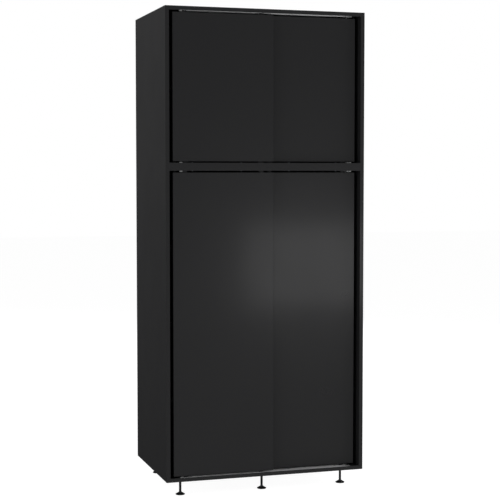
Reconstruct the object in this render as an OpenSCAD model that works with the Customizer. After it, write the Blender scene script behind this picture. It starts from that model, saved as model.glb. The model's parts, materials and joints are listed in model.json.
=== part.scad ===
// Tall cabinet of two stacked units, each closed by two sliding doors, on six levelling feet.
// The origin is on the floor under the middle of the cabinet. +Z is up and the doors face -Y.

/* [Carcass] */
// Width over the outer faces
cabinet_w = 800; // [640:1:1000]
// Depth of the boards, without the back panel
board_d = 510; // [420:1:640]
// Height of the lower unit
lower_h = 1200; // [900:1:1500]
// Height of the upper unit
upper_h = 600; // [450:1:750]
// Thickness of the boards
board_t = 15; // [14:0.5:19]
// Thickness of the back panels
back_t = 3; // [2.5:0.5:5]
// How far a back panel stops short of the outer edges
back_inset = 2; // [0:0.5:4]

/* [Shelves] */
// Gap between each end of a shelf and the side panel
shelf_gap = 1; // [0.5:0.5:2]
// Gap between the closed rear door and the front edge of a shelf
shelf_clear = 14.5; // [10:0.5:40]
// Diameter of a shelf pin
pin_d = 5; // [4:0.5:6]
// Length of a shelf pin inside the side panel
pin_in = 8; // [6:0.5:10]
// Length of a shelf pin's tongue under the shelf
pin_out = 9; // [7:0.5:12]
// Width of a shelf pin's tongue
pin_tongue_w = 10; // [8:0.5:14]
// Thickness of a shelf pin's tongue
pin_tongue_t = 1.5; // [1:0.1:2]
// Distance from the ends of a shelf's depth to its pins
pin_inset = 60; // [40:1:90]

/* [Doors] */
// Thickness of a door
door_t = 15; // [14:0.5:18]
// Recess of the front doors behind the front edges
door_recess = 6.5; // [5:0.5:10]
// Gap between the front door and the rear door
door_spacing = 5; // [4:0.5:8]
// Gap between a closed door's edge and the side panel
finger_gap = 15; // [10:0.5:18]
// Overlap of the two closed doors
door_overlap = 56; // [30:1:80]
// Gap between a door's bottom edge and the end stops under it
door_clear_bottom = 2.5; // [1:0.1:4]
// Gap between a door's top edge and the end stops over it
door_clear_top = 2.4; // [1.4:0.1:4]

/* [Tracks] */
// Size of a track behind the middle of its rear channel
track_tail = 11; // [9:0.5:14]
// Distance from the front edges of the boards to a track
track_setback = 1; // [0.5:0.5:3]
// Thickness of a track's plate, which lies on the board
plate_t = 1.5; // [1.2:0.1:2]
// Depth of a track's channels, from the top of its plate
channel_d = 3; // [2.5:0.1:4]
// Thickness of the channels' walls and floors, which are let into the board
channel_wall = 1.2; // [1:0.1:1.6]
// Gap between a side panel and the track's end stop
track_end_gap = 39; // [30:0.5:44]
// Length of an end stop, with its tongues in the channels
stop_l = 14; // [10:0.5:20]
// Thickness of an end stop's bar, which closes the track's end
stop_bar = 6; // [4:0.5:8]
// Height of the end stops under the doors
stop_h_bottom = 3; // [2:0.1:4]
// Height of the end stops over the doors
stop_h_top = 4.6; // [3:0.1:5.6]
// Number of screws in a track
track_screw_count = 4; // [3:1:6]
// Distance from a track's ends to its outer screws
track_screw_inset = 50; // [30:1:80]

/* [Rollers and guides] */
// Diameter of a wheel
wheel_d = 22; // [20:0.5:24]
// Width of a wheel's rim
wheel_t = 5; // [4:0.5:6]
// Diameter of a wheel's axle
axle_d = 3; // [2.5:0.1:4]
// Width of a roller housing
housing_w = 34; // [30:1:40]
// Height of a roller housing
housing_h = 26; // [22:1:36]
// Thickness left in front of the pockets for the housings and guides
pocket_skin = 2.5; // [1.5:0.1:3]
// Width of a guide's block
guide_w = 26; // [24:1:34]
// Height of a guide's block
guide_h = 22; // [18:1:30]
// Length of a guide's fin
guide_fin_l = 18; // [14:1:22]

/* [Feet] */
// Height of the lower unit's underside above the floor
foot_h = 64; // [55:1:80]
// Distance from the middle of an outer foot to the side of the cabinet
foot_inset_side = 69.5; // [50:0.5:100]
// Distance from the middle of a front foot to the front edges
foot_inset_front = 67; // [50:1:100]
// Distance from the middle of a rear foot to the boards' rear edges
foot_inset_rear = 58; // [40:1:100]
// Diameter of a foot's stud
stud_d = 10; // [8:1:12]
// Distance from a stud's top to the upper face of the bottom panel
stud_short = 3; // [2:0.5:5]
// How far the flats of the hexagon on a foot's stud stand out from the stud
hex_out = 1; // [1:0.25:3]
// Height of the hexagon
hex_h = 2.5; // [2:0.5:5]
// Diameter of a foot's pad
pad_d = 36; // [28:0.5:40]
// Height of a foot's pad
pad_h = 9; // [6:0.5:10]

/* [Fasteners] */
// Shank diameter of a carcass screw
screw_d = 6.6; // [5:0.1:7]
// Length of a carcass screw
screw_l = 50; // [40:1:60]
// Head diameter of a carcass screw
screw_head_d = 9.6; // [8:0.1:11]
// Distance from the boards' front and rear edges to the carcass screws
screw_inset = 60; // [40:1:90]
// Shank diameter of a connecting bolt between the two units
bolt_d = 8; // [6:0.5:9]
// Head diameter of a connecting bolt
bolt_head_d = 14; // [12:0.5:18]
// Distance from the side of the cabinet to the connecting bolts
bolt_inset_side = 60; // [45:1:100]
// Distance from the boards' front and rear edges to the connecting bolts
bolt_inset_end = 110; // [90:1:140]

/* [Hidden] */

$fn = 48;

// Finishes
black_board = "#222325";
black_plastic = "#1a1a1b";
silver_coat = "#8a8c8f";
bright_metal = "#c9cbce";
zinc = "#9da0a4";
dark_metal = "#4a4b4e";

// Clearances and small shared sizes
past = 1;                 // a cut runs this far past the face it opens
fixed_gap = 0.1;          // around a fastener in its hole
running_gap = 0.05;       // radial, between a shaft and what turns or slides on it
passage_gap = 0.5;        // radial, around a stud where it passes through the board
wheel_lift = 0.3;         // under a wheel, above its channel's floor
wheel_gap = 1;            // around a wheel inside its housing
wheel_side_gap = 0.5;     // beside a wheel's hub inside its housing
channel_gap = 0.6;        // beside a wheel or a guide's fin in a track's channel
guide_gap = 0.6;          // between a guide's fin and its channel's floor
groove_gap = 0.1;         // around a track's channels in the board
pocket_gap = 0.1;         // around a housing or a guide in its pocket
stop_gap = 0.5;           // between a closed door's wheel and the end stop
stop_fit = 0.1;           // around an end stop's tongue in the channel

// Planes of the carcass
front_y = -(board_d + back_t) / 2;
rear_y = front_y + board_d;
inner_w = cabinet_w - 2 * board_t;
lower_z = foot_h;
upper_z = foot_h + lower_h;

// The doors
door_gap_bottom = stop_h_bottom + door_clear_bottom;
door_gap_top = stop_h_top + door_clear_top;
door_w = (inner_w - 2 * finger_gap + door_overlap) / 2;
pocket_d = door_t - pocket_skin;
front_door_x = -inner_w / 2 + finger_gap;
rear_door_x = inner_w / 2 - finger_gap - door_w;
front_door_y = front_y + door_recess;
rear_door_y = front_door_y + door_t + door_spacing;

// The tracks
channel_w = wheel_t + 2 * channel_gap;
channel_floor_z = -channel_d;
track_l = inner_w - 2 * track_end_gap - 2 * stop_bar;
track_y = front_y + track_setback;
front_channel = front_door_y + door_t / 2 - track_y;
rear_channel = rear_door_y + door_t / 2 - track_y;
track_w = rear_channel + track_tail;
track_screw_d = 3.5;
track_screw_l = 12;
track_screw_head_d = 6.5;
track_screw_head_h = 1.6;

// The rollers: distances along a door, and heights above its bottom edge
roller_inset = track_end_gap + stop_l + stop_gap + wheel_d / 2 - finger_gap;
axle_z = channel_floor_z + wheel_lift + wheel_d / 2 - door_gap_bottom;
axle_inset = 0.5;
hub_wall = 2;
hub_proud = 0.25;
hub_t = wheel_t + 2 * hub_proud;
web_recess = 1;
web_t = wheel_t - 2 * web_recess;
rim_t = 2;
rim_chamfer = 0.4;

// The guides
guide_inset = track_end_gap + stop_l + stop_gap + guide_fin_l / 2 - finger_gap;
guide_rise = door_gap_top - channel_floor_z - guide_gap;

// The carcass screws
screw_head_h = 3;
screw_sink = 0.3;
socket_w = 4;
socket_depth = 2.2;

// The connecting bolts
bolt_head_h = 1.6;

// The feet
foot_side_x = cabinet_w / 2 - foot_inset_side;
foot_front_y = front_y + foot_inset_front;
foot_rear_y = rear_y - foot_inset_rear;
foot_spots = [for (x = [-foot_side_x, 0, foot_side_x], y = [foot_front_y, foot_rear_y]) [x, y]];
stud_in = board_t - stud_short;
insert_skin = 2;
insert_l = board_t - insert_skin;
insert_wall = 1.6;
insert_flange = 2;
insert_flange_t = 1;
hex_w = stud_d + 2 * hex_out;
stud_bottom = 3;
pad_edge = 1.8;
pad_under = 1;
pad_rim = 0.5;

// Underside of shelf number i, counted from the bottom, of count equally spaced shelves in a unit
function shelf_z(unit_z, unit_h, count, i) =
    let (clear_h = (unit_h - (2 + count) * board_t) / (count + 1))
    unit_z + board_t + i * clear_h + (i - 1) * board_t;

function door_h(unit_h) = unit_h - 2 * board_t - door_gap_bottom - door_gap_top;

shelf_front_y = rear_door_y + door_t + shelf_clear;
shelf_heights = [
    shelf_z(lower_z, lower_h, 3, 1),
    shelf_z(lower_z, lower_h, 3, 2),
    shelf_z(lower_z, lower_h, 3, 3),
    shelf_z(upper_z, upper_h, 1, 1)
];

// ---- Fasteners and the holes for them ----

// Places its child at the unit's carcass screws: outside face at z = 0, shank down
module at_carcass_screws(unit_z, unit_h) {
    for (x = [-1, 1], y = [front_y + screw_inset, rear_y - screw_inset]) {
        translate([x * (cabinet_w - board_t) / 2, y, unit_z + unit_h]) children();
        translate([x * (cabinet_w - board_t) / 2, y, unit_z]) rotate([180, 0, 0]) children();
    }
}

module carcass_screw_hole() {
    head_floor = screw_sink + screw_head_h + fixed_gap;
    translate([0, 0, -head_floor]) cylinder(d = screw_head_d + 2 * fixed_gap, h = head_floor + past);
    translate([0, 0, -screw_l - fixed_gap]) cylinder(d = screw_d + 2 * fixed_gap, h = screw_l);
}

module carcass_screw() {
    difference() {
        union() {
            translate([0, 0, -screw_sink - screw_head_h]) cylinder(d = screw_head_d, h = screw_head_h);
            translate([0, 0, -screw_l]) cylinder(d = screw_d, h = screw_l - screw_sink - screw_head_h / 2);
        }
        translate([0, 0, -screw_sink - socket_depth])
            cylinder(d = socket_w / cos(30), h = socket_depth + past, $fn = 6);
    }
}

module carcass_screws() {
    color(zinc) {
        at_carcass_screws(lower_z, lower_h) carcass_screw();
        at_carcass_screws(upper_z, upper_h) carcass_screw();
    }
}

// Places its child where the bolts cross the joint between the units
module at_connecting_bolts() {
    for (x = [-1, 1], y = [front_y + bolt_inset_end, rear_y - bolt_inset_end])
        translate([x * (cabinet_w / 2 - bolt_inset_side), y, upper_z]) children();
}

module connecting_bolt_hole() {
    cylinder(d = bolt_d + 2 * fixed_gap, h = 2 * (board_t + past), center = true);
}

module connecting_bolts() {
    color(zinc)
        at_connecting_bolts() {
            cylinder(d = bolt_d, h = 2 * (board_t + bolt_head_h / 2), center = true);
            translate([0, 0, board_t]) cylinder(d = bolt_head_d, h = bolt_head_h);
            translate([0, 0, -board_t - bolt_head_h]) cylinder(d = bolt_head_d, h = bolt_head_h);
        }
}

// Places its child along a track, whose upper face is level with the board's face at z = 0
module at_track_screws() {
    span = track_l - 2 * track_screw_inset;
    pitch = span / (track_screw_count - 1);
    for (i = [0 : track_screw_count - 1])
        translate([i * pitch - span / 2, track_y + (front_channel + rear_channel) / 2, 0]) children();
}

module track_screw_holes() {
    at_track_screws()
        translate([0, 0, -track_screw_l])
            cylinder(d = track_screw_d + 2 * fixed_gap, h = track_screw_l + past);
}

module track_screw() {
    translate([0, 0, -track_screw_l])
        cylinder(d = track_screw_d, h = track_screw_l + track_screw_head_h / 2);
    cylinder(d = track_screw_head_d, h = track_screw_head_h);
}

// The shallow recess in a board for a track's plate, and the two grooves for its channels
module track_recess() {
    recess_l = track_l + 2 * groove_gap;
    groove_w = channel_w + 2 * (channel_wall + groove_gap);
    groove_floor_z = channel_floor_z - channel_wall - groove_gap;
    plate_floor_z = -plate_t - groove_gap;
    translate([-recess_l / 2, track_y - groove_gap, plate_floor_z])
        cube([recess_l, track_w + 2 * groove_gap, past - plate_floor_z]);
    for (channel = [front_channel, rear_channel])
        translate([-recess_l / 2, track_y + channel - groove_w / 2, groove_floor_z])
            cube([recess_l, groove_w, past - groove_floor_z]);
}

// All that a track takes out of the board that carries it
module track_seat() {
    track_recess();
    track_screw_holes();
}

// Places its children, made for a bottom track, on the four boards that carry a track
module on_floor(unit_z) {
    translate([0, 0, unit_z + board_t]) children();
}

module on_ceiling(unit_z, unit_h) {
    translate([0, 0, unit_z + unit_h - board_t]) mirror([0, 0, 1]) children();
}

module track_screws() {
    color(zinc) {
        on_floor(lower_z) at_track_screws() track_screw();
        on_ceiling(lower_z, lower_h) at_track_screws() track_screw();
        on_floor(upper_z) at_track_screws() track_screw();
        on_ceiling(upper_z, upper_h) at_track_screws() track_screw();
    }
}

// Places its child at the pins under a shelf: side panel's inner face at x = 0, shelf towards +x
module at_shelf_pins(z) {
    for (y = [shelf_front_y + pin_inset, rear_y - pin_inset]) {
        translate([-inner_w / 2, y, z]) children();
        translate([inner_w / 2, y, z]) mirror([1, 0, 0]) children();
    }
}

module shelf_pin_hole() {
    translate([-pin_in - fixed_gap, 0, -pin_d / 2])
        rotate([0, 90, 0]) cylinder(d = pin_d + 2 * running_gap, h = pin_in + fixed_gap + past);
}

module shelf_pin() {
    translate([-pin_in, 0, -pin_d / 2]) rotate([0, 90, 0]) cylinder(d = pin_d, h = pin_in + pin_out);
    translate([0, -pin_tongue_w / 2, -pin_tongue_t]) cube([pin_out, pin_tongue_w, pin_tongue_t]);
}

module shelf_pins() {
    color(zinc)
        for (z = shelf_heights) at_shelf_pins(z) shelf_pin();
}

module foot_insert_hole() {
    barrel_d = stud_d + 2 * insert_wall + 2 * fixed_gap;
    translate([0, 0, -past]) cylinder(d = barrel_d + 2 * insert_flange, h = insert_flange_t + past);
    translate([0, 0, -past]) cylinder(d = barrel_d, h = insert_l + past);
    translate([0, 0, -past]) cylinder(d = stud_d + 2 * passage_gap, h = board_t + 2 * past);
}

module foot_inserts() {
    barrel_d = stud_d + 2 * insert_wall;
    color(zinc)
        for (spot = foot_spots)
            translate([spot.x, spot.y, foot_h])
                difference() {
                    union() {
                        cylinder(d = barrel_d, h = insert_l);
                        cylinder(d = barrel_d + 2 * insert_flange, h = insert_flange_t);
                    }
                    translate([0, 0, -past]) cylinder(d = stud_d + 2 * running_gap, h = insert_l + 2 * past);
                }
}

// ---- Carcass ----

// A board that runs the full width, over or under the side panels
module full_board(z) {
    translate([-cabinet_w / 2, front_y, z]) cube([cabinet_w, board_d, board_t]);
}

module lower_bottom_panel() {
    color(black_board)
        difference() {
            full_board(lower_z);
            at_carcass_screws(lower_z, lower_h) carcass_screw_hole();
            on_floor(lower_z) track_seat();
            for (spot = foot_spots) translate([spot.x, spot.y, foot_h]) foot_insert_hole();
        }
}

module lower_top_panel() {
    color(black_board)
        difference() {
            full_board(upper_z - board_t);
            at_carcass_screws(lower_z, lower_h) carcass_screw_hole();
            on_ceiling(lower_z, lower_h) track_seat();
            at_connecting_bolts() connecting_bolt_hole();
        }
}

module upper_bottom_panel() {
    color(black_board)
        difference() {
            full_board(upper_z);
            at_carcass_screws(upper_z, upper_h) carcass_screw_hole();
            on_floor(upper_z) track_seat();
            at_connecting_bolts() connecting_bolt_hole();
        }
}

module upper_top_panel() {
    color(black_board)
        difference() {
            full_board(upper_z + upper_h - board_t);
            at_carcass_screws(upper_z, upper_h) carcass_screw_hole();
            on_ceiling(upper_z, upper_h) track_seat();
        }
}

// A side panel between a unit's two full boards; side is -1 for the left and 1 for the right
module side_panel(side, unit_z, unit_h, pin_heights) {
    color(black_board)
        difference() {
            translate([side * (cabinet_w - board_t) / 2 - board_t / 2, front_y, unit_z + board_t])
                cube([board_t, board_d, unit_h - 2 * board_t]);
            at_carcass_screws(unit_z, unit_h) carcass_screw_hole();
            for (z = pin_heights) at_shelf_pins(z) shelf_pin_hole();
        }
}

lower_shelf_heights = [shelf_heights[0], shelf_heights[1], shelf_heights[2]];
upper_shelf_heights = [shelf_heights[3]];

module lower_left_side() { side_panel(-1, lower_z, lower_h, lower_shelf_heights); }
module lower_right_side() { side_panel(1, lower_z, lower_h, lower_shelf_heights); }
module upper_left_side() { side_panel(-1, upper_z, upper_h, upper_shelf_heights); }
module upper_right_side() { side_panel(1, upper_z, upper_h, upper_shelf_heights); }

module back_panel(unit_z, unit_h) {
    color(black_board)
        translate([-cabinet_w / 2 + back_inset, rear_y, unit_z + back_inset])
            cube([cabinet_w - 2 * back_inset, back_t, unit_h - 2 * back_inset]);
}

module lower_back_panel() { back_panel(lower_z, lower_h); }
module upper_back_panel() { back_panel(upper_z, upper_h); }

module shelf(z) {
    color(black_board)
        translate([-inner_w / 2 + shelf_gap, shelf_front_y, z])
            cube([inner_w - 2 * shelf_gap, rear_y - shelf_front_y, board_t]);
}

module lower_shelf_low() { shelf(shelf_heights[0]); }
module lower_shelf_middle() { shelf(shelf_heights[1]); }
module lower_shelf_high() { shelf(shelf_heights[2]); }
module upper_shelf() { shelf(shelf_heights[3]); }

// ---- Tracks ----

// The track's section: y across the cabinet's depth from its front edge, z up from the board's face
module track_section() {
    outer_w = channel_w + 2 * channel_wall;
    difference() {
        union() {
            translate([0, -plate_t]) square([track_w, plate_t]);
            for (channel = [front_channel, rear_channel])
                translate([channel - outer_w / 2, channel_floor_z - channel_wall])
                    square([outer_w, channel_d + channel_wall]);
        }
        for (channel = [front_channel, rear_channel])
            translate([channel - channel_w / 2, channel_floor_z]) square([channel_w, channel_d + past]);
    }
}

module track() {
    color(silver_coat)
        difference() {
            translate([-track_l / 2, track_y, 0])
                rotate([90, 0, 90]) linear_extrude(height = track_l) track_section();
            track_screw_holes();
        }
}

module lower_bottom_track() { on_floor(lower_z) track(); }
module lower_top_track() { on_ceiling(lower_z, lower_h) track(); }
module upper_bottom_track() { on_floor(upper_z) track(); }
module upper_top_track() { on_ceiling(upper_z, upper_h) track(); }

// An end stop at the right-hand end: a bar over the track's cut end, a tongue in each channel
module end_stop(stop_h) {
    tongue_w = channel_w - 2 * stop_fit;
    translate([track_l / 2, track_y, 0]) {
        cube([stop_bar, track_w, stop_h]);
        for (channel = [front_channel, rear_channel])
            translate([stop_bar - stop_l, channel - tongue_w / 2, channel_floor_z + stop_fit])
                cube([stop_l - stop_bar, tongue_w, stop_h - channel_floor_z - stop_fit]);
    }
}

module end_stop_pair(stop_h) {
    end_stop(stop_h);
    mirror([1, 0, 0]) end_stop(stop_h);
}

module track_end_stops() {
    color(bright_metal) {
        on_floor(lower_z) end_stop_pair(stop_h_bottom);
        on_ceiling(lower_z, lower_h) end_stop_pair(stop_h_top);
        on_floor(upper_z) end_stop_pair(stop_h_bottom);
        on_ceiling(upper_z, upper_h) end_stop_pair(stop_h_top);
    }
}

// ---- Doors ----

// Moves a door, made with its lower left front corner at the origin, to its closed place
module place_door(rear, unit_z) {
    translate([rear ? rear_door_x : front_door_x, rear ? rear_door_y : front_door_y,
               unit_z + board_t + door_gap_bottom])
        children();
}

// A pocket in a door's rear face for a block of the given width and height, from z = 0 up.
// It runs past the door's edge below the block.
module pocket(block_w, block_h) {
    translate([-block_w / 2 - pocket_gap, door_t - pocket_d, -past])
        cube([block_w + 2 * pocket_gap, pocket_d + past, block_h + pocket_gap + past]);
}

module door_panel(rear, unit_z, unit_h) {
    color(black_board)
        place_door(rear, unit_z)
            difference() {
                cube([door_w, door_t, door_h(unit_h)]);
                for (x = [roller_inset, door_w - roller_inset])
                    translate([x, 0, 0]) pocket(housing_w, housing_h);
                for (x = [guide_inset, door_w - guide_inset])
                    translate([x, 0, door_h(unit_h)]) mirror([0, 0, 1]) pocket(guide_w, guide_h);
            }
}

// Places its child at a door's axles, with y = 0 in the wheel's middle plane
module at_axle(x) {
    translate([x, door_t / 2, axle_z]) children();
}

module roller_housing() {
    slot_w = hub_t + 2 * wheel_side_gap;
    slot_l = wheel_d + 2 * wheel_gap;
    difference() {
        translate([-housing_w / 2, door_t / 2 - pocket_d, -axle_z]) cube([housing_w, pocket_d, housing_h]);
        translate([-slot_l / 2, -slot_w / 2, -axle_z - past])
            cube([slot_l, slot_w, axle_z + past + slot_l / 2]);
        translate([0, past + door_t / 2, 0])
            rotate([90, 0, 0]) cylinder(d = axle_d + 2 * running_gap, h = pocket_d + 2 * past);
    }
}

module door_housings(rear, unit_z) {
    color(black_plastic)
        place_door(rear, unit_z)
            for (x = [roller_inset, door_w - roller_inset]) at_axle(x) roller_housing();
}

module door_axles(rear, unit_z) {
    color(zinc)
        place_door(rear, unit_z)
            for (x = [roller_inset, door_w - roller_inset])
                at_axle(x)
                    translate([0, door_t / 2 - axle_inset, 0])
                        rotate([90, 0, 0]) cylinder(d = axle_d, h = pocket_d - 2 * axle_inset);
}

// A wheel's half section: x from its axis, y along the axis
module wheel_section() {
    rim_r = wheel_d / 2;
    bore_r = axle_d / 2 + running_gap;
    translate([bore_r, -hub_t / 2]) square([axle_d / 2 + hub_wall - bore_r, hub_t]);
    translate([bore_r, -web_t / 2]) square([rim_r - rim_t / 2 - bore_r, web_t]);
    polygon([
        [rim_r - rim_t, -wheel_t / 2],
        [rim_r - rim_chamfer, -wheel_t / 2],
        [rim_r, -wheel_t / 2 + rim_chamfer],
        [rim_r, wheel_t / 2 - rim_chamfer],
        [rim_r - rim_chamfer, wheel_t / 2],
        [rim_r - rim_t, wheel_t / 2]
    ]);
}

module door_wheel(rear, unit_z, x) {
    color(black_plastic)
        place_door(rear, unit_z)
            at_axle(x) rotate([90, 0, 0]) rotate_extrude($fn = 64) wheel_section();
}

// A guide's block, with its fin standing up into the track's channel
module door_guide() {
    fin_t = wheel_t;
    flat_l = guide_fin_l - fin_t;
    translate([-guide_w / 2, door_t / 2 - pocket_d, -guide_h]) cube([guide_w, pocket_d, guide_h]);
    translate([-flat_l / 2, -fin_t / 2, -past]) cube([flat_l, fin_t, guide_rise + past]);
    for (side = [-1, 1])
        translate([side * flat_l / 2, 0, -past]) cylinder(d = fin_t, h = guide_rise + past);
}

module door_guides(rear, unit_z, unit_h) {
    color(black_plastic)
        place_door(rear, unit_z)
            for (x = [guide_inset, door_w - guide_inset])
                translate([x, door_t / 2, door_h(unit_h)]) door_guide();
}

left_roller_x = roller_inset;
right_roller_x = door_w - roller_inset;

// ---- Feet ----

module foot_stud(x, y) {
    color(dark_metal)
        translate([x, y, 0]) {
            translate([0, 0, stud_bottom]) cylinder(d = stud_d, h = foot_h + stud_in - stud_bottom);
            translate([0, 0, pad_h]) cylinder(d = hex_w / cos(30), h = hex_h, $fn = 6);
        }
}

module foot_pad(x, y) {
    bore_r = stud_d / 2 + running_gap;
    top_r = hex_w / 2 / cos(30) + pad_rim;
    color(black_plastic)
        translate([x, y, 0])
            rotate_extrude($fn = 64)
                polygon([
                    [0, 0],
                    [pad_d / 2 - pad_under, 0],
                    [pad_d / 2, pad_under],
                    [pad_d / 2, pad_under + pad_edge],
                    [top_r, pad_h],
                    [bore_r, pad_h],
                    [bore_r, stud_bottom],
                    [0, stud_bottom]
                ]);
}

lower_bottom_panel();
lower_top_panel();
lower_left_side();
lower_right_side();
lower_back_panel();
lower_shelf_low();
lower_shelf_middle();
lower_shelf_high();
upper_bottom_panel();
upper_top_panel();
upper_left_side();
upper_right_side();
upper_back_panel();
upper_shelf();
lower_bottom_track();
lower_top_track();
upper_bottom_track();
upper_top_track();
track_end_stops();
track_screws();
carcass_screws();
connecting_bolts();
shelf_pins();
foot_inserts();
door_panel(false, lower_z, lower_h);  // lower_front_door
door_housings(false, lower_z);  // lower_front_door_housings
door_axles(false, lower_z);  // lower_front_door_axles
door_guides(false, lower_z, lower_h);  // lower_front_door_guides
door_wheel(false, lower_z, left_roller_x);  // lower_front_door_left_wheel
door_wheel(false, lower_z, right_roller_x);  // lower_front_door_right_wheel
door_panel(true, lower_z, lower_h);  // lower_rear_door
door_housings(true, lower_z);  // lower_rear_door_housings
door_axles(true, lower_z);  // lower_rear_door_axles
door_guides(true, lower_z, lower_h);  // lower_rear_door_guides
door_wheel(true, lower_z, left_roller_x);  // lower_rear_door_left_wheel
door_wheel(true, lower_z, right_roller_x);  // lower_rear_door_right_wheel
door_panel(false, upper_z, upper_h);  // upper_front_door
door_housings(false, upper_z);  // upper_front_door_housings
door_axles(false, upper_z);  // upper_front_door_axles
door_guides(false, upper_z, upper_h);  // upper_front_door_guides
door_wheel(false, upper_z, left_roller_x);  // upper_front_door_left_wheel
door_wheel(false, upper_z, right_roller_x);  // upper_front_door_right_wheel
door_panel(true, upper_z, upper_h);  // upper_rear_door
door_housings(true, upper_z);  // upper_rear_door_housings
door_axles(true, upper_z);  // upper_rear_door_axles
door_guides(true, upper_z, upper_h);  // upper_rear_door_guides
door_wheel(true, upper_z, left_roller_x);  // upper_rear_door_left_wheel
door_wheel(true, upper_z, right_roller_x);  // upper_rear_door_right_wheel
foot_stud(-foot_side_x, foot_front_y);  // front_left_stud
foot_pad(-foot_side_x, foot_front_y);  // front_left_pad
foot_stud(0, foot_front_y);  // front_middle_stud
foot_pad(0, foot_front_y);  // front_middle_pad
foot_stud(foot_side_x, foot_front_y);  // front_right_stud
foot_pad(foot_side_x, foot_front_y);  // front_right_pad
foot_stud(-foot_side_x, foot_rear_y);  // rear_left_stud
foot_pad(-foot_side_x, foot_rear_y);  // rear_left_pad
foot_stud(0, foot_rear_y);  // rear_middle_stud
foot_pad(0, foot_rear_y);  // rear_middle_pad
foot_stud(foot_side_x, foot_rear_y);  // rear_right_stud
foot_pad(foot_side_x, foot_rear_y);  // rear_right_pad
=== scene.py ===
import json
import math
import bmesh
import bpy
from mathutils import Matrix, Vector


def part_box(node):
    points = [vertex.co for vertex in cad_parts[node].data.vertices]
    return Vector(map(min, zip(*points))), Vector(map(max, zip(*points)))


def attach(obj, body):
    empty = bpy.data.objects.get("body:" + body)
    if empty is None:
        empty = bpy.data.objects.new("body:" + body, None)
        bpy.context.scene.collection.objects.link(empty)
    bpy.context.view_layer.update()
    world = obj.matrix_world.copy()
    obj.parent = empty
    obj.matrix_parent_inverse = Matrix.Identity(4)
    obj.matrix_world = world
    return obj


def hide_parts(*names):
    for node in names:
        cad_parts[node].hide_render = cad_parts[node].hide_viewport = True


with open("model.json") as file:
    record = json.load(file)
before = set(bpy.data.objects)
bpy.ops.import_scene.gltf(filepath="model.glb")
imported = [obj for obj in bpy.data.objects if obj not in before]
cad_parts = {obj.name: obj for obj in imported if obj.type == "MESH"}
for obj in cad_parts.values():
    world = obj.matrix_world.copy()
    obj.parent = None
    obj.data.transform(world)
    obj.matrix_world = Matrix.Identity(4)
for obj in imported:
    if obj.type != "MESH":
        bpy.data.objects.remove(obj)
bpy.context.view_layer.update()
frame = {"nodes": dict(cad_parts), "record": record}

mm = 0.001
nodes = frame["nodes"]
bodyOf = {node: body for body, names in frame["record"]["behaviour"]["bodies"].items() for node in names}

# Camera: a long lens a little above the middle of the cabinet, standing off to its left

cameraSetup = {
    "place": (-1.5681, -5.0535, 1.2454),
    "tiltDown": 3.415,     # degrees
    "turnRight": 17.358,   # degrees
    "lens": 94.52,         # mm on a 36 mm sensor
}

cameraData = bpy.data.cameras.new("camera")
cameraData.lens = cameraSetup["lens"]
cameraData.sensor_width = 36
camera = bpy.data.objects.new("camera", cameraData)
camera.location = cameraSetup["place"]
tilt, turn = math.radians(90 - cameraSetup["tiltDown"]), -math.radians(cameraSetup["turnRight"])
camera.rotation_euler = (tilt, 0, turn)
bpy.context.scene.collection.objects.link(camera)
bpy.context.scene.camera = camera
bpy.context.scene.view_settings.view_transform = "Standard"


# Small helpers for colours, shader nodes, pieces and turned shapes

def colour(hexCode):
    # sRGB hex to the linear values that the shaders want
    channels = [int(hexCode[i:i + 2], 16) / 255 for i in (1, 3, 5)]
    return [c / 12.92 if c <= 0.04045 else ((c + 0.055) / 1.055) ** 2.4 for c in channels] + [1]


def addNode(tree, kind, settings=None, inputs=None, links=None):
    # settings are the node's own properties, inputs its socket values, links what plugs into its sockets
    node = tree.nodes.new(kind)
    for name, value in (settings or {}).items():
        setattr(node, name, value)
    for name, value in (inputs or {}).items():
        node.inputs[name].default_value = value
    for name, source in (links or {}).items():
        tree.links.new(source, node.inputs[name])
    return node


def newMaterial(name, shaderInputs):
    material = bpy.data.materials.new(name)
    material.use_nodes = True
    tree = material.node_tree
    tree.nodes.clear()
    shader = addNode(tree, "ShaderNodeBsdfPrincipled", inputs=shaderInputs)
    addNode(tree, "ShaderNodeOutputMaterial", links={"Surface": shader.outputs["BSDF"]})
    return material, tree, shader


def newPiece(name, mesh, body):
    piece = bpy.data.objects.new(name, mesh)
    bpy.context.scene.collection.objects.link(piece)
    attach(piece, body)
    return piece


def setFinish(piece, material):
    piece.data.materials.clear()
    piece.data.materials.append(material)


def lathe(shape, profile, place, steps=48):
    # turns a profile of (radius, height) points about a vertical line through place
    rings = []
    for radius, height in profile:
        if radius == 0:
            rings.append([shape.verts.new(place + Vector((0, 0, height)))])
            continue
        angles = [2 * math.pi * i / steps for i in range(steps)]
        rings.append([shape.verts.new(place + Vector((radius * math.cos(a), radius * math.sin(a), height)))
                      for a in angles])
    for low, high in zip(rings, rings[1:]):
        for i in range(steps):
            j = i + 1
            corners = [low[i % len(low)], low[j % len(low)], high[j % len(high)], high[i % len(high)]]
            unique = list(dict.fromkeys(corners))
            if len(unique) > 2:
                shape.faces.new(unique)


# Materials, each with its own settings

def scaleFor(sizeMm):
    # noise scale whose blotches are about this many millimetres wide, in object coordinates
    return 1 / (sizeMm * mm)


melamine = {
    "colour": "#181819",
    "pores": "#212122",
    "roughness": 0.42,
    "gloss": 0.3,          # share of the light that the smooth resin skin mirrors
    "glossRoughness": 0.13,
    "paperShine": 0.3,     # the pressed paper under the skin mirrors less than usual
    "pearlMm": 1.6,        # the pressed grain is about 0.4 mm, too fine to show, so it is drawn coarser
    "pearlDepth": 0.10,
    "pearlHeightMm": 0.05,
    "doorRoughness": 0.3,
    "doorPearlDepth": 0.05,
    "smearMm": 260,        # handling marks that change the sheen over a hand's width
    "smearRange": (0.3, 0.7),
    "smearSheen": (-0.03, 0.04),
}


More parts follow.
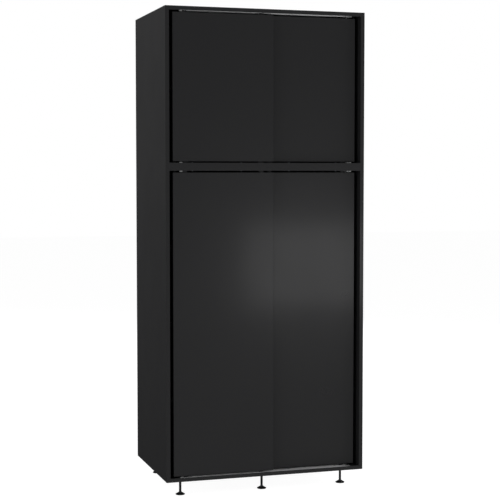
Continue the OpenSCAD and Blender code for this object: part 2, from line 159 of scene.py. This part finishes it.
def makeMelamine(name, roughness, pearlDepth):
    # melamine paper pressed on chipboard: black, satin, with a fine pearl grain that softens reflections
    material, tree, shader = newMaterial(name, {
        "Specular IOR Level": melamine["paperShine"], "IOR": 1.5,
        "Coat Weight": melamine["gloss"], "Coat Roughness": melamine["glossRoughness"], "Coat IOR": 1.5})
    place = addNode(tree, "ShaderNodeTexCoord").outputs["Object"]
    pearl = addNode(tree, "ShaderNodeTexNoise", inputs={"Scale": scaleFor(melamine["pearlMm"]), "Detail": 3},
                    links={"Vector": place})
    smear = addNode(tree, "ShaderNodeTexNoise", inputs={"Scale": scaleFor(melamine["smearMm"]), "Detail": 2},
                    links={"Vector": place})
    tint = addNode(tree, "ShaderNodeMix", {"data_type": "RGBA"},
                   {"A": colour(melamine["colour"]), "B": colour(melamine["pores"])},
                   {"Factor": pearl.outputs["Fac"]})
    faint, strong = melamine["smearRange"]
    smoother, duller = melamine["smearSheen"]
    sheen = addNode(tree, "ShaderNodeMapRange",
                    inputs={"From Min": faint, "From Max": strong,
                            "To Min": roughness + smoother, "To Max": roughness + duller},
                    links={"Value": smear.outputs["Fac"]})
    bump = addNode(tree, "ShaderNodeBump",
                   inputs={"Strength": pearlDepth, "Distance": melamine["pearlHeightMm"] * mm},
                   links={"Height": pearl.outputs["Fac"]})
    tree.links.new(tint.outputs["Result"], shader.inputs["Base Color"])
    tree.links.new(sheen.outputs["Result"], shader.inputs["Roughness"])
    tree.links.new(bump.outputs["Normal"], shader.inputs["Normal"])
    return material


boardFinish = makeMelamine("blackMelamineBoard", melamine["roughness"], melamine["pearlDepth"])
doorFinish = makeMelamine("blackSatinMelamineDoor", melamine["doorRoughness"], melamine["doorPearlDepth"])

hardboard = {"colour": "#151617", "fibre": "#222325", "roughness": 0.5, "fibreMm": 3, "fibreDepth": 0.25,
             "fibreHeightMm": 0.1}


def makeHardboard():
    # lacquered hardboard: flat black with a faint felted fibre that breaks up the light
    material, tree, shader = newMaterial("blackLacqueredHardboard",
                                         {"Roughness": hardboard["roughness"], "IOR": 1.5})
    place = addNode(tree, "ShaderNodeTexCoord").outputs["Object"]
    fibre = addNode(tree, "ShaderNodeTexNoise",
                    inputs={"Scale": scaleFor(hardboard["fibreMm"]), "Detail": 6, "Distortion": 1.5},
                    links={"Vector": place})
    tint = addNode(tree, "ShaderNodeMix", {"data_type": "RGBA"},
                   {"A": colour(hardboard["colour"]), "B": colour(hardboard["fibre"])},
                   {"Factor": fibre.outputs["Fac"]})
    bump = addNode(tree, "ShaderNodeBump",
                   inputs={"Strength": hardboard["fibreDepth"], "Distance": hardboard["fibreHeightMm"] * mm},
                   links={"Height": fibre.outputs["Fac"]})
    tree.links.new(tint.outputs["Result"], shader.inputs["Base Color"])
    tree.links.new(bump.outputs["Normal"], shader.inputs["Normal"])
    return material


hardboardFinish = makeHardboard()

silverCoat = {"colour": "#bdbdbe", "fleck": "#a9a9aa", "roughness": 0.42, "sheen": (-0.05, 0.06),
              "peelMm": 1.1, "peelDepth": 0.25, "peelHeightMm": 0.03, "fleckMm": 0.6}


def makeSilverCoat():
    # silver-grey powder coat on the extruded tracks: satin paint, a faint orange peel and darker flecks
    material, tree, shader = newMaterial("silverGreyPowderCoat", {"IOR": 1.5})
    place = addNode(tree, "ShaderNodeTexCoord").outputs["Object"]
    fleck = addNode(tree, "ShaderNodeTexNoise",
                    inputs={"Scale": scaleFor(silverCoat["fleckMm"]), "Detail": 4}, links={"Vector": place})
    peel = addNode(tree, "ShaderNodeTexNoise", inputs={"Scale": scaleFor(silverCoat["peelMm"]), "Detail": 2},
                   links={"Vector": place})
    tint = addNode(tree, "ShaderNodeMix", {"data_type": "RGBA"},
                   {"A": colour(silverCoat["fleck"]), "B": colour(silverCoat["colour"])},
                   {"Factor": fleck.outputs["Fac"]})
    smoother, duller = silverCoat["sheen"]
    sheen = addNode(tree, "ShaderNodeMapRange",
                    inputs={"To Min": silverCoat["roughness"] + smoother,
                            "To Max": silverCoat["roughness"] + duller},
                    links={"Value": peel.outputs["Fac"]})
    bump = addNode(tree, "ShaderNodeBump",
                   inputs={"Strength": silverCoat["peelDepth"], "Distance": silverCoat["peelHeightMm"] * mm},
                   links={"Height": peel.outputs["Fac"]})
    tree.links.new(tint.outputs["Result"], shader.inputs["Base Color"])
    tree.links.new(sheen.outputs["Result"], shader.inputs["Roughness"])
    tree.links.new(bump.outputs["Normal"], shader.inputs["Normal"])
    return material


silverFinish = makeSilverCoat()

platedSheen = (-0.05, 0.1)      # roughness below and above the plate's own
metals = {
    "brightNickelPlate": {"colour": "#dcdddd", "worn": "#c4c5c5", "roughness": 0.16, "grainMm": 4},
    "zincPlatedSteel": {"colour": "#a9adb1", "worn": "#8e9296", "roughness": 0.3, "grainMm": 1.5},
    "blackPassivatedSteel": {"colour": "#55565a", "worn": "#434447", "roughness": 0.36, "grainMm": 1.2},
}


def makeMetal(name):
    # plated steel: a bright skin whose sheen varies softly where the plating bath left it uneven
    setup = metals[name]
    material, tree, shader = newMaterial(name, {"Metallic": 1})
    place = addNode(tree, "ShaderNodeTexCoord").outputs["Object"]
    grain = addNode(tree, "ShaderNodeTexNoise", inputs={"Scale": scaleFor(setup["grainMm"]), "Detail": 4},
                    links={"Vector": place})
    tint = addNode(tree, "ShaderNodeMix", {"data_type": "RGBA"},
                   {"A": colour(setup["worn"]), "B": colour(setup["colour"])},
                   {"Factor": grain.outputs["Fac"]})
    smoother, duller = platedSheen
    sheen = addNode(tree, "ShaderNodeMapRange",
                    inputs={"To Min": setup["roughness"] + smoother, "To Max": setup["roughness"] + duller},
                    links={"Value": grain.outputs["Fac"]})
    tree.links.new(tint.outputs["Result"], shader.inputs["Base Color"])
    tree.links.new(sheen.outputs["Result"], shader.inputs["Roughness"])
    return material


nickelFinish = makeMetal("brightNickelPlate")
zincFinish = makeMetal("zincPlatedSteel")
darkSteelFinish = makeMetal("blackPassivatedSteel")

spark = {"shine": 0.45, "sheen": 0.05, "depth": 0.2, "heightMm": 0.04}
plastics = {
    "blackMouldedNylon": {"colour": "#121213", "mark": "#1d1d1f", "roughness": 0.5, "sparkMm": 0.8},
    "blackMouldedPolypropylene": {"colour": "#0f0f10", "mark": "#19191a", "roughness": 0.42, "sparkMm": 0.8},
    "blackExtrudedEdging": {"colour": "#17181a", "mark": "#1d1e20", "roughness": 0.3, "sparkMm": 0.8},
}


def makePlastic(name):
    # moulded or extruded plastic: even colour and a fine spark-eroded texture that dulls the highlights
    setup = plastics[name]
    material, tree, shader = newMaterial(name, {"IOR": 1.5, "Specular IOR Level": spark["shine"]})
    place = addNode(tree, "ShaderNodeTexCoord").outputs["Object"]
    grain = addNode(tree, "ShaderNodeTexNoise", inputs={"Scale": scaleFor(setup["sparkMm"]), "Detail": 3},
                    links={"Vector": place})
    tint = addNode(tree, "ShaderNodeMix", {"data_type": "RGBA"},
                   {"A": colour(setup["colour"]), "B": colour(setup["mark"])},
                   {"Factor": grain.outputs["Fac"]})
    sheen = addNode(tree, "ShaderNodeMapRange",
                    inputs={"To Min": setup["roughness"] - spark["sheen"],
                            "To Max": setup["roughness"] + spark["sheen"]},
                    links={"Value": grain.outputs["Fac"]})
    bump = addNode(tree, "ShaderNodeBump",
                   inputs={"Strength": spark["depth"], "Distance": spark["heightMm"] * mm},
                   links={"Height": grain.outputs["Fac"]})
    tree.links.new(tint.outputs["Result"], shader.inputs["Base Color"])
    tree.links.new(sheen.outputs["Result"], shader.inputs["Roughness"])
    tree.links.new(bump.outputs["Normal"], shader.inputs["Normal"])
    return material


blackNylonFinish = makePlastic("blackMouldedNylon")
padFinish = makePlastic("blackMouldedPolypropylene")
edgingFinish = makePlastic("blackExtrudedEdging")
print("materials: melamine, hardboard, coated track, plated steel and plastics")

# Finishes of the cabinet's pieces, by material slot

finishOf = {
    "black_laminate_board": boardFinish,
    "black_hardboard": hardboardFinish,
    "silver_coated_aluminium": silverFinish,
    "bright_nickel": nickelFinish,
    "zinc_plated_steel": zincFinish,
    "black_zinc_steel": darkSteelFinish,
    "black_nylon": blackNylonFinish,
    "black_foot_plastic": padFinish,
}
slotOf = {part["node"]: part["material_slot"] for part in frame["record"]["subparts"]}
edgeRadius = {"black_laminate_board": 0.5, "silver_coated_aluminium": 0.25, "bright_nickel": 0.3,
              "black_foot_plastic": 0.4}   # mm
sharpAngle = 40      # degrees, a sharper turn than this counts as an edge
weldGap = 0.01       # mm


def softenEdges(piece, radiusMm):
    # a small round on every hard edge, so the edges catch the light as real ones do
    weld = piece.modifiers.new("weld", "WELD")
    weld.merge_threshold = weldGap * mm
    bevel = piece.modifiers.new("edges", "BEVEL")
    bevel.width = radiusMm * mm
    bevel.segments = 2
    bevel.limit_method = "ANGLE"
    bevel.angle_limit = math.radians(sharpAngle)
    bevel.harden_normals = True


for name, piece in nodes.items():
    slot = slotOf[name]
    finish = finishOf[slot]
    if slot == "black_laminate_board" and name.endswith("_door"):
        finish = doorFinish
    setFinish(piece, finish)
    if slot in edgeRadius:
        softenEdges(piece, edgeRadius[slot])
print("finishes: on", len(nodes), "pieces")

# Feet: threaded studs with a hexagon

def plainMesh(name, shape):
    shape.normal_update()
    mesh = bpy.data.meshes.new(name)
    shape.to_mesh(mesh)
    shape.free()
    return mesh


foot = {
    "crest": 5,             # mm, the stud's outer radius
    "pitch": 1.5,           # mm, the coarse thread of a 10 mm stud
    "threadDepth": 0.8,     # mm
    "around": 24,           # facets around the stud
    "perTurn": 4,           # rows for each turn of the thread
    "hexBottom": 8,         # mm above the floor, so its lowest millimetre is sunk in the pad
    "hexHeight": 2.5,       # mm
    "hexEdge": 0.3,         # mm, chamfer on the hexagon
}


def threadedStud(name, body):
    low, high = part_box(name)
    centre = (Vector(low) + Vector(high)) / 2
    hexWidth = high[1] - low[1]
    crest = foot["crest"] * mm
    root = crest - foot["threadDepth"] * mm
    pitch = foot["pitch"] * mm
    rows = int((high[2] - low[2]) / pitch * foot["perTurn"])
    shape = bmesh.new()
    rings = []
    for row in range(rows + 1):
        height = low[2] + row * pitch / foot["perTurn"]
        ring = []
        for i in range(foot["around"]):
            phase = (row / foot["perTurn"] - i / foot["around"]) % 1
            radius = root + (crest - root) * (1 - abs(2 * phase - 1))
            angle = 2 * math.pi * i / foot["around"]
            x, y = centre.x + radius * math.cos(angle), centre.y + radius * math.sin(angle)
            ring.append(shape.verts.new((x, y, height)))
        rings.append(ring)
    for lower, upper in zip(rings, rings[1:]):
        for i in range(foot["around"]):
            j = (i + 1) % foot["around"]
            shape.faces.new((lower[i], lower[j], upper[j], upper[i]))
    shape.faces.new(rings[0][::-1])
    shape.faces.new(rings[-1])
    stud = newPiece(name + "_thread", plainMesh(name + "_thread", shape), body)
    setFinish(stud, darkSteelFinish)
    stud.data.shade_smooth()
    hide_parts(name)

    shape = bmesh.new()
    corner = hexWidth / 2 / math.cos(math.pi / 6)
    bottom = foot["hexBottom"] * mm
    top = bottom + foot["hexHeight"] * mm
    profile = [(0, bottom), (corner, bottom), (corner, top), (0, top)]
    lathe(shape, profile, Vector((centre.x, centre.y, 0)), steps=6)
    hexagon = newPiece(name + "_hexagon", plainMesh(name + "_hexagon", shape), body)
    setFinish(hexagon, zincFinish)
    bevel = hexagon.modifiers.new("edges", "BEVEL")
    bevel.width = foot["hexEdge"] * mm
    bevel.segments = 2
    bevel.harden_normals = True


for name in nodes:
    if name.endswith("_stud"):
        threadedStud(name, bodyOf[name])
print("feet: threaded studs and hexagons")

# Back panels: thin sheets held by small round-headed nails

backing = {
    "nailInset": 6,       # mm, from the sheet's edge to the nails
    "nailPitch": 110,     # mm, about this far apart
    "headWidth": 4.2,     # mm
    "headHeight": 0.5,    # mm, how far the heads stand out
    "headSteps": 16,      # facets around a head
    "headRings": (1, 0.96, 0.8, 0.5),
    "edgeRound": 0.4,     # mm, on the sheet's edges
}


def rectangleBox(shape, low, high):
    xs, ys, zs = zip(low, high)
    corners = [shape.verts.new((x, y, z)) for x in xs for y in ys for z in zs]
    for a, b, c, d in ((0, 1, 3, 2), (4, 6, 7, 5), (0, 4, 5, 1), (2, 3, 7, 6), (0, 2, 6, 4), (1, 5, 7, 3)):
        shape.faces.new([corners[i] for i in (a, b, c, d)])


def nailHead(shape, x, y, z):
    # a shallow dome facing backwards, as a stack of rings
    steps = backing["headSteps"]
    radius = backing["headWidth"] / 2 * mm
    height = backing["headHeight"] * mm
    rings = []
    for share in backing["headRings"]:
        rise = height * math.sqrt(1 - share * share)
        angles = [2 * math.pi * i / steps for i in range(steps)]
        rings.append([shape.verts.new((x + radius * share * math.cos(a), y + rise,
                                       z + radius * share * math.sin(a))) for a in angles])
    for lower, upper in zip(rings, rings[1:]):
        for i in range(steps):
            j = (i + 1) % steps
            shape.faces.new((lower[j], lower[i], upper[i], upper[j]))
    shape.faces.new(rings[-1][::-1])
    shape.faces.new(rings[0])


def makeBacking(name):
    low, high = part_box(name)
    face = high[1] - backing["headHeight"] * mm
    shape = bmesh.new()
    rectangleBox(shape, low, (high[0], face, high[2]))
    sheet = newPiece(name + "_sheet", plainMesh(name + "_sheet", shape), "cabinet")
    setFinish(sheet, hardboardFinish)
    softenEdges(sheet, backing["edgeRound"])
    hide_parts(name)

    shape = bmesh.new()
    inset = backing["nailInset"] * mm
    left, right = low[0] + inset, high[0] - inset
    bottom, top = low[2] + inset, high[2] - inset
    across = round((right - left) / (backing["nailPitch"] * mm))
    upward = round((top - bottom) / (backing["nailPitch"] * mm))
    for i in range(across + 1):
        for z in (bottom, top):
            nailHead(shape, left + i * (right - left) / across, face, z)
    for i in range(1, upward):
        for x in (left, right):
            nailHead(shape, x, face, bottom + i * (top - bottom) / upward)
    nails = newPiece(name + "_nails", plainMesh(name + "_nails", shape), "cabinet")
    setFinish(nails, zincFinish)
    nails.data.shade_smooth()


for name in nodes:
    if name.endswith("_back_panel"):
        makeBacking(name)
print("back panels: sheets and nails")

# Edge bands: thin plastic strips glued on the doors' upright edges and the shelves' front edges

edgeBand = {
    "thick": 0.5,      # mm
    "short": 0.3,      # mm, how far a band stops short of the board's faces
    "round": 0.2,      # mm, scraped corner
}


def makeBand(name, side):
    # side is -1 for the edge facing -X, 1 for +X and 0 for the front edge
    low, high = (Vector(corner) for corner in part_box(name))
    thick, short = edgeBand["thick"] * mm, edgeBand["short"] * mm
    start, end = low.copy(), high.copy()
    if side == 0:
        start.y, end.y = low.y - thick, low.y
        start.z, end.z = low.z + short, high.z - short
    else:
        edge = low.x if side < 0 else high.x
        start.x, end.x = min(edge, edge + side * thick), max(edge, edge + side * thick)
        start.y, end.y = low.y + short, high.y - short
    shape = bmesh.new()
    rectangleBox(shape, start, end)
    label = {-1: "_left_band", 0: "_front_band", 1: "_right_band"}[side]
    band = newPiece(name + label, plainMesh(name + label, shape), bodyOf[name])
    setFinish(band, edgingFinish)
    softenEdges(band, edgeBand["round"])


for name in nodes:
    if name.endswith("_door"):
        makeBand(name, -1)
        makeBand(name, 1)
    if "shelf" in name and slotOf[name] == "black_laminate_board":
        makeBand(name, 0)
print("edge bands: on the doors and shelves")

# Floor, surroundings and lights

studio = {
    "floorSize": 40,            # m
    "floorGlow": 0.95,          # keeps the floor near white, with only a faint shadow
    "floorPaint": "#8a8a8a",
    "background": 1.0,
    "frontLow": 0.28,           # what the doors mirror, below and above the horizon
    "frontHigh": 0.15,
    "backLow": 0.03,            # what the left side mirrors, below and above the horizon
    "backHigh": 0.135,
    "horizonBlend": 0.25,       # how softly low turns to high, and front to back
    "sideBlend": 0.3,
}

# Each light: where it stands, what it points at, its width and height in metres and its power in watts.
# Only the soft panel shows in the doors, as a blurred rectangle.
lights = {
    "softPanel": {"place": (1.475, -3.7565, 0.62), "aim": (1.475, 0, 0.62), "size": (0.95, 0.55),
                  "power": 3.4, "mirrored": True},
    "keyRight": {"place": (3.0, -4.5, 2.2), "aim": (0, 0, 1.0), "size": (2.5, 2.5), "power": 40,
                 "mirrored": False},
    "sideRight": {"place": (4.6, -1.7, 1.4), "aim": (0.3, -0.25, 1.0), "size": (2.5, 2.5), "power": 150,
                  "mirrored": False},
    "fillLeft": {"place": (-4.5, -1.5, 1.6), "aim": (-0.4, 0, 1.0), "size": (2.5, 2.5), "power": 95,
                 "mirrored": False},
    "backRight": {"place": (2.8, 4.2, 2.4), "aim": (0, 0.25, 0.9), "size": (2.0, 2.0), "power": 140,
                  "mirrored": False},
    "topLeft": {"place": (-1.6, 0.1, 2.6), "aim": (-0.4, 0, 1.8), "size": (1.0, 1.0), "power": 6,
                "mirrored": False},
}


def makeFloor():
    shape = bmesh.new()
    half = studio["floorSize"] / 2
    corners = [shape.verts.new((x * half, y * half, 0)) for x, y in ((-1, -1), (1, -1), (1, 1), (-1, 1))]
    shape.faces.new(corners)
    mesh = bpy.data.meshes.new("floor")
    shape.to_mesh(mesh)
    shape.free()
    floor = bpy.data.objects.new("floor", mesh)
    bpy.context.scene.collection.objects.link(floor)
    material = bpy.data.materials.new("paleStudioFloor")
    material.use_nodes = True
    tree = material.node_tree
    tree.nodes.clear()
    glow = addNode(tree, "ShaderNodeEmission", inputs={"Strength": studio["floorGlow"]})
    paint = addNode(tree, "ShaderNodeBsdfDiffuse", inputs={"Color": colour(studio["floorPaint"])})
    both = addNode(tree, "ShaderNodeAddShader")
    tree.links.new(glow.outputs["Emission"], both.inputs[0])
    tree.links.new(paint.outputs["BSDF"], both.inputs[1])
    addNode(tree, "ShaderNodeOutputMaterial", links={"Surface": both.outputs["Shader"]})
    mesh.materials.append(material)
    floor.visible_glossy = False     # the cabinet mirrors the dim room, not the floor


def makeSky():
    world = bpy.data.worlds.new("studio")
    bpy.context.scene.world = world
    world.use_nodes = True
    tree = world.node_tree
    tree.nodes.clear()
    way = addNode(tree, "ShaderNodeTexCoord").outputs["Generated"]
    parts = addNode(tree, "ShaderNodeSeparateXYZ", links={"Vector": way})
    spread = {"From Min": -studio["horizonBlend"], "From Max": studio["horizonBlend"]}
    front = addNode(tree, "ShaderNodeMapRange",
                    inputs={**spread, "To Min": studio["frontLow"], "To Max": studio["frontHigh"]},
                    links={"Value": parts.outputs["Z"]})
    back = addNode(tree, "ShaderNodeMapRange",
                   inputs={**spread, "To Min": studio["backLow"], "To Max": studio["backHigh"]},
                   links={"Value": parts.outputs["Z"]})
    behind = addNode(tree, "ShaderNodeMapRange",
                     inputs={"From Min": -studio["sideBlend"], "From Max": studio["sideBlend"]},
                     links={"Value": parts.outputs["Y"]})
    glow = addNode(tree, "ShaderNodeMix", links={
        "Factor": behind.outputs["Result"], "A": front.outputs["Result"], "B": back.outputs["Result"]})
    room = addNode(tree, "ShaderNodeBackground", links={"Strength": glow.outputs["Result"]})
    white = addNode(tree, "ShaderNodeBackground", inputs={"Strength": studio["background"]})
    seen = addNode(tree, "ShaderNodeLightPath").outputs["Is Camera Ray"]
    mix = addNode(tree, "ShaderNodeMixShader", links={"Fac": seen})
    tree.links.new(room.outputs["Background"], mix.inputs[1])
    tree.links.new(white.outputs["Background"], mix.inputs[2])
    addNode(tree, "ShaderNodeOutputWorld", links={"Surface": mix.outputs["Shader"]})
    for node in (room, white):
        node.inputs["Color"].default_value = (1, 1, 1, 1)


def makeLight(name):
    setup = lights[name]
    light = bpy.data.lights.new(name, "AREA")
    light.shape = "RECTANGLE"
    light.size, light.size_y = setup["size"]
    light.energy = setup["power"]
    lamp = bpy.data.objects.new(name, light)
    lamp.location = setup["place"]
    lamp.rotation_euler = (Vector(setup["aim"]) - lamp.location).to_track_quat("-Z", "Y").to_euler()
    lamp.visible_camera = False
    lamp.visible_glossy = setup["mirrored"]
    bpy.context.scene.collection.objects.link(lamp)


makeFloor()
makeSky()
for name in lights:
    makeLight(name)
print("studio: floor, sky and", len(lights), "lights")
